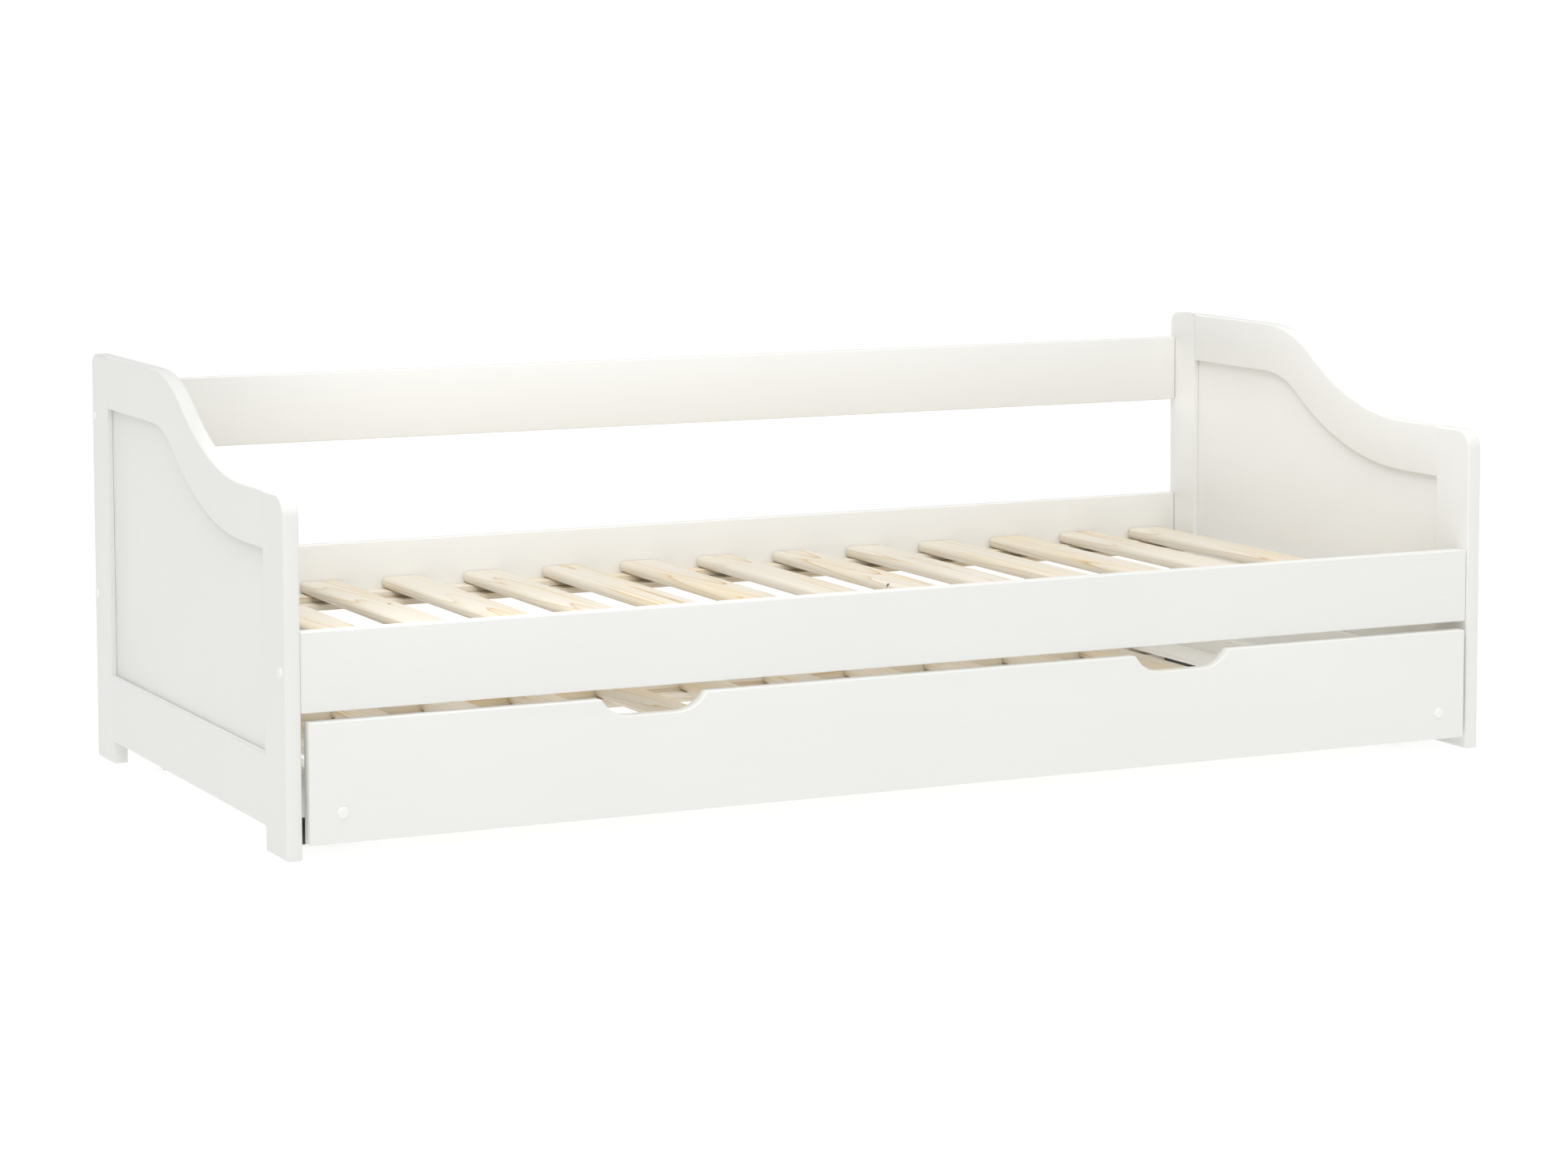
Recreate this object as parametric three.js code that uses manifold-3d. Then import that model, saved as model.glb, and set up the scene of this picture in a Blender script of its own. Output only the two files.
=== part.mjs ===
// A day bed with a pull-out trundle on castors.
//
// Frame: millimetres, +Z up, +X along the bed, the open front towards -Y.
// Origin: bottom centre of the whole object, with the trundle pushed in.
//
// Two end frames carry three long rails. Pine slats lie on battens and ledgers along
// the front and rear rails. The trundle is a tray behind a full-length front board,
// with its own slats, and rolls out towards -Y on four small wheels.

import * as THREE from 'three';
import { mergeVertices } from 'three/addons/utils/BufferGeometryUtils.js';
import Module from 'manifold-3d';

const wasm = await Module();
wasm.setup();

// ---------------------------------------------------------------- driving dimensions

// Clearances.
const SEAM = 0.3;                  // between pieces that touch
const SLAT_END_GAP = 1.5;          // slat end to rail
const RUNNING_GAP = 0.5;           // wheel bore to axle, and wheel to collar
const AXLE_CLEARANCE = 4;          // top of an axle to the side rail above it
const TRUNDLE_SIDE_GAP = 8.5;      // trundle front board to each end frame

// The bed over all.
const LENGTH = 2060;
const DEPTH = 950;                 // over the posts, front to back
const BACK_HEIGHT = 661;
const FRONT_HEIGHT = 527;
const TRUNDLE_PROUD = 8;           // trundle front board, forward of the posts

// End frames.
const BOARD = 24.5;                // thickness of the end frames' solid boards
const REAR_POST_WIDTH = 85.5;
const FRONT_POST_WIDTH = 90.5;
const REAR_CORNER_RADIUS = 22;
const FRONT_CORNER_RADIUS = 32;
const TOP_RAIL_WIDTH = 84;
const CREST_START = 325;           // where the top rail leaves the level, from the back
const CREST_RADIUS = 265;
const HOLLOW_END = 193;            // where it is level again, from the front
const BOTTOM_RAIL_LOW = 36;
const BOTTOM_RAIL_HEIGHT = 107.5;
const PANEL_THICKNESS = 7;
const GROOVE_DEPTH = 8;            // how far the panel runs into its frame

// Long rails.
const REAR_RAIL_THICKNESS = 18;
const BACKREST_LOW = 500;
const BACKREST_HEIGHT = 115;
const REAR_RAIL_LOW = 222;
const REAR_RAIL_HEIGHT = 105.5;
const FRONT_RAIL_THICKNESS = 24.5;
const FRONT_RAIL_SETBACK = 2.5;    // front rail, behind the front of the posts
const FRONT_RAIL_LOW = 212.7;
const FRONT_RAIL_HEIGHT = 117.7;

// Slats of both beds, and the supports of the bed's slats.
const SLAT_WIDTH = 70.5;
const SLAT_THICKNESS = 19.5;
const SLAT_EDGE_RADIUS = 8.5;
const SLAT_TOP = 266.5;
const SLAT_COUNT = 14;
const SLAT_MARGIN = 27.75;         // end frame to the first and the last slat
const BATTEN_WIDTH = 37;
const BATTEN_THICKNESS = 10.2;
const LEDGER_WIDTH = 67;
const LEDGER_THICKNESS = 10;

// Trundle.
const FRONT_BOARD_LOW = 21.5;
const FRONT_BOARD_HEIGHT = 178.5;
const HANDHOLD_OFFSET = 457;       // each side of the middle
const HANDHOLD_TOP_WIDTH = 170;
const HANDHOLD_FLOOR_WIDTH = 78;
const HANDHOLD_DEPTH = 27.5;
const TRAY_BACK_GAP = 81.5;        // tray's rear rail to the plane of the bed's back
const TRAY_RAIL_THICKNESS = 24.5;
const TRAY_RAIL_HEIGHT = 70;
const TRAY_INSET = 62.25;          // side rail's inner face, inside the end of the front board
const TRAY_LEDGER_WIDTH = 23;
const TRAY_LEDGER_HEIGHT = 13;
const TRAY_SLAT_TOP = 68;
const TRAY_SLAT_COUNT = 11;
const COVER_WIDTH = 75;            // painted board level with the slats, at each end
const COVER_THICKNESS = 8;
const COVER_GAP = 34.25;           // cover to the nearest slat

// Wheels.
const WHEEL_RADIUS = 20;
const WHEEL_WIDTH = 12;
const WHEEL_ROUNDING = 3;
const WHEEL_STANDOFF = 3;          // side rail's outer face to the wheel
const AXLE_RADIUS = 4;
const HUB_RADIUS = 7.5;            // collar and head that hold the wheel in place
const HUB_LENGTH = 2;
const CARRIER_LENGTH = 92;         // along the side rail
const CARRIER_REACH = 15;          // block, inwards from the side rail's inner face
const FRONT_WHEEL_SETBACK = 96;    // wheel centre, behind the front board's back face
const REAR_WHEEL_SETBACK = 70.5;   // wheel centre, ahead of the rear rail's front face

// ------------------------------------------------------------------- derived places

const BACK = (DEPTH + TRUNDLE_PROUD) / 2;
const FRONT = BACK - DEPTH;
const END_OUT = LENGTH / 2;
const END_IN = END_OUT - BOARD;
const REAR_POST_FRONT = BACK - REAR_POST_WIDTH;
const FRONT_POST_BACK = FRONT + FRONT_POST_WIDTH;
const BOTTOM_RAIL_TOP = BOTTOM_RAIL_LOW + BOTTOM_RAIL_HEIGHT;

const FRONT_RAIL_FRONT = FRONT + FRONT_RAIL_SETBACK;
const FRONT_RAIL_BACK = FRONT_RAIL_FRONT + FRONT_RAIL_THICKNESS;
const REAR_RAIL_FRONT = BACK - REAR_RAIL_THICKNESS;
const SLAT_PITCH = (2 * (END_IN - SLAT_MARGIN) - SLAT_WIDTH) / (SLAT_COUNT - 1);
const SLAT_BOTTOM = SLAT_TOP - SLAT_THICKNESS;
const BATTEN_TOP = SLAT_BOTTOM - SEAM;
const LEDGER_TOP = BATTEN_TOP - BATTEN_THICKNESS - SEAM;

const FRONT_BOARD_FRONT = FRONT - TRUNDLE_PROUD;
const FRONT_BOARD_BACK = FRONT_BOARD_FRONT + BOARD;
const FRONT_BOARD_END = END_IN - TRUNDLE_SIDE_GAP;
const TRAY_BACK = BACK - TRAY_BACK_GAP;
const TRAY_REAR_RAIL_FRONT = TRAY_BACK - TRAY_RAIL_THICKNESS;
const TRAY_SIDE_IN = FRONT_BOARD_END - TRAY_INSET;
const TRAY_SIDE_OUT = TRAY_SIDE_IN + TRAY_RAIL_THICKNESS;
const TRAY_RAIL_LOW = WHEEL_RADIUS + AXLE_RADIUS + AXLE_CLEARANCE;
const TRAY_LEDGER_TOP = TRAY_SLAT_TOP - SLAT_THICKNESS - SEAM;
const COVER_LOW = TRAY_SLAT_TOP - COVER_THICKNESS;
const COVER_OUT = TRAY_SIDE_IN - SEAM;
const COVER_IN = COVER_OUT - COVER_WIDTH;
const TRAY_SLAT_PITCH = (2 * (COVER_IN - COVER_GAP) - SLAT_WIDTH) / (TRAY_SLAT_COUNT - 1);

// ------------------------------------------------------------------------ materials

const WHITE_PAINT = { color: 0xf1efe9, roughness: 0.45, metalness: 0 };
const PALE_PINE = { color: 0xe8cfa6, roughness: 0.6, metalness: 0 };
const BLACK_PLASTIC = { color: 0x1b1b1c, roughness: 0.5, metalness: 0 };

// -------------------------------------------------------------------- shared shaping

function solidOf(geometry) {
  const bare = geometry.clone();
  bare.deleteAttribute('normal');
  bare.deleteAttribute('uv');
  const merged = mergeVertices(bare, 1e-4);
  return new wasm.Manifold(new wasm.Mesh({
    numProp: 3,
    vertProperties: new Float32Array(merged.attributes.position.array),
    triVerts: new Uint32Array(merged.index.array),
  }));
}

function geometryOf(solid) {
  const { vertProperties, triVerts } = solid.getMesh();
  const geometry = new THREE.BufferGeometry();
  geometry.setAttribute('position', new THREE.BufferAttribute(vertProperties, 3));
  geometry.setIndex(new THREE.BufferAttribute(triVerts, 1));
  geometry.computeVertexNormals();
  return geometry;
}

function meshOf(name, geometry, finish) {
  const mesh = new THREE.Mesh(geometry, new THREE.MeshStandardMaterial(finish));
  mesh.name = name;
  return mesh;
}

// A box between two corners.
function boxBetween([x0, y0, z0], [x1, y1, z1]) {
  const box = new THREE.BoxGeometry(x1 - x0, y1 - y0, z1 - z0);
  return box.translate((x0 + x1) / 2, (y0 + y1) / 2, (z0 + z1) / 2);
}

// Points of an arc in the drawing plane, both ends included.
function arcPoints(centre, radius, fromDegrees, toDegrees, steps) {
  const points = [];
  for (let step = 0; step <= steps; step += 1) {
    const degrees = fromDegrees + ((toDegrees - fromDegrees) * step) / steps;
    const turn = THREE.MathUtils.degToRad(degrees);
    points.push(new THREE.Vector2(
      centre.x + radius * Math.cos(turn),
      centre.y + radius * Math.sin(turn),
    ));
  }
  return points;
}

// A side outline in (Y, Z), extruded along X from x0 to x1.
function extrudeAlongX(outline, x0, x1) {
  const geometry = new THREE.ExtrudeGeometry(new THREE.Shape(outline), {
    depth: x1 - x0,
    bevelEnabled: false,
  });
  geometry.applyMatrix4(new THREE.Matrix4().set(0, 0, 1, x0, 1, 0, 0, 0, 0, 1, 0, 0, 0, 0, 0, 1));
  return geometry;
}

// A front outline in (X, Z), extruded along Y from y0 to y1.
function extrudeAlongY(outline, y0, y1) {
  const geometry = new THREE.ExtrudeGeometry(new THREE.Shape(outline), {
    depth: y1 - y0,
    bevelEnabled: false,
  });
  geometry.applyMatrix4(new THREE.Matrix4().set(1, 0, 0, 0, 0, 0, -1, y1, 0, 1, 0, 0, 0, 0, 0, 1));
  return geometry;
}

// A flat board with one pair of long edges rounded, lying along Y.
function roundedBoard(x0, x1, y0, y1, top, thickness, edgeRadius) {
  const radius = Math.min(edgeRadius, 0.44 * thickness);
  const low = top - thickness + radius;
  const high = top - radius;
  const steps = 4;
  const outline = [
    ...arcPoints({ x: x1 - radius, y: low }, radius, -90, 0, steps),
    ...arcPoints({ x: x1 - radius, y: high }, radius, 0, 90, steps),
    ...arcPoints({ x: x0 + radius, y: high }, radius, 90, 180, steps),
    ...arcPoints({ x: x0 + radius, y: low }, radius, 180, 270, steps),
  ];
  return extrudeAlongY(outline, y0, y1);
}

// ------------------------------------------------------------------------ end frames

// The S-shaped line of the top rail's upper edge, moved down square to itself by offset.
// It runs from the rear to the front: level, over the crest, through the hollow, level.
function sweepLine(offset, rearEnd, frontEnd) {
  const drop = BACK_HEIGHT - FRONT_HEIGHT;
  const run = DEPTH - CREST_START - HOLLOW_END;
  const fall = 2 * Math.atan(drop / run);
  const hollowRadius = run / Math.sin(fall) - CREST_RADIUS;
  const crest = { x: BACK - CREST_START, y: BACK_HEIGHT - CREST_RADIUS };
  const hollow = { x: crest.x - run, y: FRONT_HEIGHT + hollowRadius };
  const degrees = THREE.MathUtils.radToDeg(fall);
  const steps = 12;
  return [
    new THREE.Vector2(rearEnd, BACK_HEIGHT - offset),
    ...arcPoints(crest, CREST_RADIUS - offset, 90, 90 + degrees, steps),
    ...arcPoints(hollow, hollowRadius + offset, -90 + degrees, -90, steps),
    new THREE.Vector2(frontEnd, FRONT_HEIGHT - offset),
  ];
}

// The panel's outline, grown on every side beyond the opening that it fills.
function panelOutline(growth) {
  const rearEnd = REAR_POST_FRONT + growth;
  const frontEnd = FRONT_POST_BACK - growth;
  return [
    new THREE.Vector2(frontEnd, BOTTOM_RAIL_TOP - growth),
    new THREE.Vector2(rearEnd, BOTTOM_RAIL_TOP - growth),
    ...sweepLine(TOP_RAIL_WIDTH - growth, rearEnd, frontEnd),
  ];
}

function rearPostOutline() {
  const corner = { x: BACK - REAR_CORNER_RADIUS, y: BACK_HEIGHT - REAR_CORNER_RADIUS };
  return [
    new THREE.Vector2(REAR_POST_FRONT, 0),
    new THREE.Vector2(BACK, 0),
    ...arcPoints(corner, REAR_CORNER_RADIUS, 0, 90, 8),
    new THREE.Vector2(REAR_POST_FRONT, BACK_HEIGHT),
  ];
}

function frontPostOutline() {
  const corner = { x: FRONT + FRONT_CORNER_RADIUS, y: FRONT_HEIGHT - FRONT_CORNER_RADIUS };
  return [
    new THREE.Vector2(FRONT, 0),
    new THREE.Vector2(FRONT_POST_BACK, 0),
    new THREE.Vector2(FRONT_POST_BACK, FRONT_HEIGHT),
    ...arcPoints(corner, FRONT_CORNER_RADIUS, 90, 180, 8),
  ];
}

function topRailOutline() {
  const rearEnd = REAR_POST_FRONT - SEAM;
  const frontEnd = FRONT_POST_BACK + SEAM;
  const upper = sweepLine(0, rearEnd, frontEnd);
  const lower = sweepLine(TOP_RAIL_WIDTH, rearEnd, frontEnd);
  return [...upper, ...lower.reverse()];
}

function bottomRailOutline() {
  return [
    new THREE.Vector2(FRONT_POST_BACK + SEAM, BOTTOM_RAIL_LOW),
    new THREE.Vector2(REAR_POST_FRONT - SEAM, BOTTOM_RAIL_LOW),
    new THREE.Vector2(REAR_POST_FRONT - SEAM, BOTTOM_RAIL_TOP),
    new THREE.Vector2(FRONT_POST_BACK + SEAM, BOTTOM_RAIL_TOP),
  ];
}

// Posts and rails of one end, grooved for the thin panel that they hold.
function endFrame(side, x0) {
  const frame = new THREE.Group();
  const middle = x0 + BOARD / 2;
  const grooveHalf = PANEL_THICKNESS / 2 + SEAM;
  const groove = solidOf(extrudeAlongX(
    panelOutline(GROOVE_DEPTH + SEAM),
    middle - grooveHalf,
    middle + grooveHalf,
  ));
  const members = {
    rear_post: rearPostOutline(),
    front_post: frontPostOutline(),
    top_rail: topRailOutline(),
    bottom_rail: bottomRailOutline(),
  };
  for (const [member, outline] of Object.entries(members)) {
    const blank = solidOf(extrudeAlongX(outline, x0, x0 + BOARD));
    frame.add(meshOf(`${side}_${member}`, geometryOf(blank.subtract(groove)), WHITE_PAINT));
  }
  const panel = extrudeAlongX(
    panelOutline(GROOVE_DEPTH),
    middle - PANEL_THICKNESS / 2,
    middle + PANEL_THICKNESS / 2,
  );
  frame.add(meshOf(`${side}_panel`, panel, WHITE_PAINT));
  return frame;
}

// ------------------------------------------------------------------------ long rails

// A rail between the two end frames.
function longRail(name, y0, y1, low, height) {
  const reach = END_IN - SEAM;
  return meshOf(name, boxBetween([-reach, y0, low], [reach, y1, low + height]), WHITE_PAINT);
}

function longRails() {
  const rails = new THREE.Group();
  rails.add(longRail('backrest_rail', REAR_RAIL_FRONT, BACK, BACKREST_LOW, BACKREST_HEIGHT));
  rails.add(longRail('rear_rail', REAR_RAIL_FRONT, BACK, REAR_RAIL_LOW, REAR_RAIL_HEIGHT));
  rails.add(longRail('front_rail', FRONT_RAIL_FRONT, FRONT_RAIL_BACK, FRONT_RAIL_LOW, FRONT_RAIL_HEIGHT));
  return rails;
}

// ------------------------------------------------------------------------- slat base

// A pine strip against one rail. The wall is the rail's inner face, and inward is the
// way from it towards the middle of the bed, +1 or -1 along Y.
function wallStrip(name, reach, wall, inward, width, top, thickness) {
  const near = wall + inward * SEAM;
  const far = wall + inward * width;
  const low = [-reach, Math.min(near, far), top - thickness];
  const high = [reach, Math.max(near, far), top];
  return meshOf(name, boxBetween(low, high), PALE_PINE);
}

function slatRow(prefix, count, pitch, y0, y1, top) {
  const row = new THREE.Group();
  for (let index = 0; index < count; index += 1) {
    const middle = (index - (count - 1) / 2) * pitch;
    const label = String(index + 1).padStart(2, '0');
    const board = roundedBoard(
      middle - SLAT_WIDTH / 2,
      middle + SLAT_WIDTH / 2,
      y0,
      y1,
      top,
      SLAT_THICKNESS,
      SLAT_EDGE_RADIUS,
    );
    row.add(meshOf(`${prefix}_${label}`, board, PALE_PINE));
  }
  return row;
}

function slatBase() {
  const base = new THREE.Group();
  const reach = END_IN - SEAM;
  const walls = { rear: [REAR_RAIL_FRONT, -1], front: [FRONT_RAIL_BACK, 1] };
  for (const [place, [wall, inward]] of Object.entries(walls)) {
    base.add(wallStrip(`${place}_batten`, reach, wall, inward, BATTEN_WIDTH, BATTEN_TOP, BATTEN_THICKNESS));
    base.add(wallStrip(`${place}_ledger`, reach, wall, inward, LEDGER_WIDTH, LEDGER_TOP, LEDGER_THICKNESS));
  }
  const y0 = FRONT_RAIL_BACK + SLAT_END_GAP;
  const y1 = REAR_RAIL_FRONT - SLAT_END_GAP;
  base.add(slatRow('slat', SLAT_COUNT, SLAT_PITCH, y0, y1, SLAT_TOP));
  return base;
}

// --------------------------------------------------------------------------- trundle

// A shallow tub cut into the board's top edge: a level floor between two round flanks.
function handholdOutline(middle) {
  const top = FRONT_BOARD_LOW + FRONT_BOARD_HEIGHT;
  const run = (HANDHOLD_TOP_WIDTH - HANDHOLD_FLOOR_WIDTH) / 2;
  const sweep = 2 * Math.atan(HANDHOLD_DEPTH / run);
  const radius = run / Math.sin(sweep);
  const degrees = THREE.MathUtils.radToDeg(sweep);
  const half = HANDHOLD_FLOOR_WIDTH / 2;
  const centreHeight = top - HANDHOLD_DEPTH + radius;
  const steps = 8;
  return [
    ...arcPoints({ x: middle + half, y: centreHeight }, radius, -90 + degrees, -90, steps),
    ...arcPoints({ x: middle - half, y: centreHeight }, radius, -90, -90 - degrees, steps),
  ];
}

function trundleFrontBoard() {
  const top = FRONT_BOARD_LOW + FRONT_BOARD_HEIGHT;
  const outline = [
    new THREE.Vector2(-FRONT_BOARD_END, FRONT_BOARD_LOW),
    new THREE.Vector2(FRONT_BOARD_END, FRONT_BOARD_LOW),
    new THREE.Vector2(FRONT_BOARD_END, top),
    ...handholdOutline(HANDHOLD_OFFSET),
    ...handholdOutline(-HANDHOLD_OFFSET),
    new THREE.Vector2(-FRONT_BOARD_END, top),
  ];
  const board = extrudeAlongY(outline, FRONT_BOARD_FRONT, FRONT_BOARD_BACK);
  return meshOf('trundle_front', board, WHITE_PAINT);
}

// Side rails run from the front board to the rear rail, which closes the tray.
function trayRails() {
  const rails = new THREE.Group();
  const top = TRAY_RAIL_LOW + TRAY_RAIL_HEIGHT;
  const y0 = FRONT_BOARD_BACK + SEAM;
  const y1 = TRAY_REAR_RAIL_FRONT - SEAM;
  const left = boxBetween([-TRAY_SIDE_OUT, y0, TRAY_RAIL_LOW], [-TRAY_SIDE_IN, y1, top]);
  const right = boxBetween([TRAY_SIDE_IN, y0, TRAY_RAIL_LOW], [TRAY_SIDE_OUT, y1, top]);
  const rear = boxBetween(
    [-TRAY_SIDE_OUT, TRAY_REAR_RAIL_FRONT, TRAY_RAIL_LOW],
    [TRAY_SIDE_OUT, TRAY_BACK, top],
  );
  rails.add(meshOf('trundle_left_rail', left, WHITE_PAINT));
  rails.add(meshOf('trundle_right_rail', right, WHITE_PAINT));
  rails.add(meshOf('trundle_rear_rail', rear, PALE_PINE));
  return rails;
}

function trayBase() {
  const base = new THREE.Group();
  const reach = COVER_OUT;
  const walls = { rear: [TRAY_REAR_RAIL_FRONT, -1], front: [FRONT_BOARD_BACK, 1] };
  for (const [place, [wall, inward]] of Object.entries(walls)) {
    const name = `trundle_${place}_ledger`;
    base.add(wallStrip(name, reach, wall, inward, TRAY_LEDGER_WIDTH, TRAY_LEDGER_TOP, TRAY_LEDGER_HEIGHT));
  }
  const y0 = FRONT_BOARD_BACK + SLAT_END_GAP;
  const y1 = TRAY_REAR_RAIL_FRONT - SLAT_END_GAP;
  base.add(slatRow('trundle_slat', TRAY_SLAT_COUNT, TRAY_SLAT_PITCH, y0, y1, TRAY_SLAT_TOP));
  const leftCover = boxBetween([-COVER_OUT, y0, COVER_LOW], [-COVER_IN, y1, TRAY_SLAT_TOP]);
  const rightCover = boxBetween([COVER_IN, y0, COVER_LOW], [COVER_OUT, y1, TRAY_SLAT_TOP]);
  base.add(meshOf('trundle_left_cover', leftCover, WHITE_PAINT));
  base.add(meshOf('trundle_right_cover', rightCover, WHITE_PAINT));
  return base;
}

// ---------------------------------------------------------------------------- wheels

// A cylinder along X between two places.
function rod(radius, x0, x1, y, z, sides) {
  const cylinder = new THREE.CylinderGeometry(radius, radius, x1 - x0, sides);
  return cylinder.rotateZ(Math.PI / 2).translate((x0 + x1) / 2, y, z);
}

// The wheel's section, turned about X: a rounded tread on a plain bore.
function wheelGeometry() {
  const bore = AXLE_RADIUS + RUNNING_GAP;
  const half = WHEEL_WIDTH / 2;
  const shoulder = { x: WHEEL_RADIUS - WHEEL_ROUNDING, y: half - WHEEL_ROUNDING };
  const section = [
    new THREE.Vector2(bore, -half),
    ...arcPoints({ x: shoulder.x, y: -shoulder.y }, WHEEL_ROUNDING, -90, 0, 3),
    ...arcPoints(shoulder, WHEEL_ROUNDING, 0, 90, 3),
    new THREE.Vector2(bore, half),
    new THREE.Vector2(bore, -half),
  ];
  const turned = solidOf(new THREE.LatheGeometry(section, 32));
  return geometryOf(turned).rotateZ(Math.PI / 2);
}

// A block against the side rail and up to the cover board, with an axle that passes
// below the rail to the wheel outside it. side is +1 or -1 along X.
function wheelAndCarrier(place, side, y) {
  const pair = new THREE.Group();
  const z = WHEEL_RADIUS;
  const wheelIn = TRAY_SIDE_OUT + WHEEL_STANDOFF;
  const wheelOut = wheelIn + WHEEL_WIDTH;
  const axleOut = wheelOut + RUNNING_GAP + HUB_LENGTH;
  const collarIn = wheelIn - RUNNING_GAP - HUB_LENGTH;
  const blockTop = COVER_LOW - SEAM;
  const blockIn = TRAY_SIDE_IN - CARRIER_REACH;
  const block = boxBetween(
    [blockIn, y - CARRIER_LENGTH / 2, z - AXLE_RADIUS * 2],
    [TRAY_SIDE_IN - SEAM, y + CARRIER_LENGTH / 2, blockTop],
  );
  const carrier = solidOf(block)
    .add(solidOf(rod(AXLE_RADIUS, blockIn + CARRIER_REACH / 2, axleOut, y, z, 16)))
    .add(solidOf(rod(HUB_RADIUS, collarIn, collarIn + HUB_LENGTH, y, z, 24)))
    .add(solidOf(rod(HUB_RADIUS, wheelOut + RUNNING_GAP, axleOut, y, z, 24)));
  const handed = side < 0 ? carrier.mirror([1, 0, 0]) : carrier;
  const wheel = meshOf(`wheel_${place}`, wheelGeometry(), BLACK_PLASTIC);
  wheel.position.set(side * (wheelIn + WHEEL_WIDTH / 2), y, z);
  pair.add(meshOf(`carrier_${place}`, geometryOf(handed), BLACK_PLASTIC), wheel);
  return pair;
}

function wheels() {
  const set = new THREE.Group();
  const frontY = FRONT_BOARD_BACK + FRONT_WHEEL_SETBACK;
  const rearY = TRAY_REAR_RAIL_FRONT - REAR_WHEEL_SETBACK;
  set.add(wheelAndCarrier('front_left', -1, frontY));
  set.add(wheelAndCarrier('front_right', 1, frontY));
  set.add(wheelAndCarrier('rear_left', -1, rearY));
  set.add(wheelAndCarrier('rear_right', 1, rearY));
  return set;
}

// -------------------------------------------------------------------------- assembly

const bed = new THREE.Group();
bed.add(endFrame('left', -END_OUT));
bed.add(endFrame('right', END_IN));
bed.add(longRails());
bed.add(slatBase());

const trundle = new THREE.Group();
trundle.add(trundleFrontBoard());
trundle.add(trayRails());
trundle.add(trayBase());
trundle.add(wheels());

const trundleBed = new THREE.Group();
trundleBed.add(bed, trundle);

export default trundleBed;
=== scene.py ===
import math

import bmesh
import bpy
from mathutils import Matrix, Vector


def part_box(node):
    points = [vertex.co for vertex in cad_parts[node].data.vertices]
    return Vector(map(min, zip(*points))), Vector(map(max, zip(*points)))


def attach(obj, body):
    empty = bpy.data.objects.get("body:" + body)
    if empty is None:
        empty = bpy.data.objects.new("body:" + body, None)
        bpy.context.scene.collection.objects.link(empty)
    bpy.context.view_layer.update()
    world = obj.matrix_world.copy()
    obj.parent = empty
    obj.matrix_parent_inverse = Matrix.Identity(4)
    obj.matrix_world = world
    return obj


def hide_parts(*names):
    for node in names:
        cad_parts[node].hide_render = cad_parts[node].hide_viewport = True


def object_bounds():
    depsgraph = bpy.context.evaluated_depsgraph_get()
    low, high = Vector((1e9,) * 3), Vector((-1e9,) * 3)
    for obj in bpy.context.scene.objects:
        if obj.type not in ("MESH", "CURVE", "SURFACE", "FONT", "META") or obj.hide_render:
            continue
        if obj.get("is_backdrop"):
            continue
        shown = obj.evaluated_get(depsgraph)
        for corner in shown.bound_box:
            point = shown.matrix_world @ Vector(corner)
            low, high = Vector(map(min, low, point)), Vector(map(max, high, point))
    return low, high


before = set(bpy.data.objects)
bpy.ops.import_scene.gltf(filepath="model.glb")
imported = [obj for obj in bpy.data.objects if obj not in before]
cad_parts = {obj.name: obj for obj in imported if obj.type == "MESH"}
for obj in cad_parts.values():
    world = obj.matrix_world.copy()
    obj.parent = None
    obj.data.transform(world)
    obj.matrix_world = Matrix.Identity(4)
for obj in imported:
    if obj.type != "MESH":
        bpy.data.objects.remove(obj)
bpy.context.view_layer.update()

# A day bed with a pull-out trundle. Metres, +Z up, +X along the bed, the open front
# towards -Y.

# ------------------------------------------------------------------------ end frames
# Two identical ends of planed pine board under satin white paint. Each is a rear post,
# a front post, a curved top rail and a straight bottom rail, glued up edge to edge, with
# every outer edge eased by a router before painting, and a thin panel let into a groove.

POST_EASE = 0.0034                 # radius of the routed edges of the end frames
JOINT_EASE = 0.0009                # faces of two boards that butt
HAIRLINE = 0.00035                 # arrises inside a joint
PANEL_EASE = 0.0016                # edge of the opening round the panel
PANEL_REACH = 0.012                # how near the panel an edge of that opening lies
FACETS = 4                         # steps round an eased edge
WELD = 2e-5                        # corners of a CAD mesh that are one corner
FLAT_ANGLE = math.radians(0.4)     # faces that meet at less than this are one face
ARRIS_ANGLE = math.radians(30)     # edges that are sharper than this are eased
SHADING_ANGLE = math.radians(32)   # edges that are sharper than this look sharp


def linear(hex_colour):
    """An sRGB hex colour as linear RGBA."""
    parts = [int(hex_colour[i:i + 2], 16) / 255 for i in (1, 3, 5)]
    lit = [c / 12.92 if c <= 0.04045 else ((c + 0.055) / 1.055) ** 2.4 for c in parts]
    return lit + [1.0]


def add(tree, kind, inputs=None, **settings):
    """Adds a node. An input is a value, or the output socket that feeds it."""
    node = tree.nodes.new(kind)
    for name, value in settings.items():
        setattr(node, name, value)
    for key, value in (inputs or {}).items():
        if isinstance(value, bpy.types.NodeSocket):
            tree.links.new(value, node.inputs[key])
        else:
            node.inputs[key].default_value = value
    return node


def empty_material(name):
    material = bpy.data.materials.new(name)
    material.use_nodes = True
    material.node_tree.nodes.clear()
    return material, material.node_tree


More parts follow.
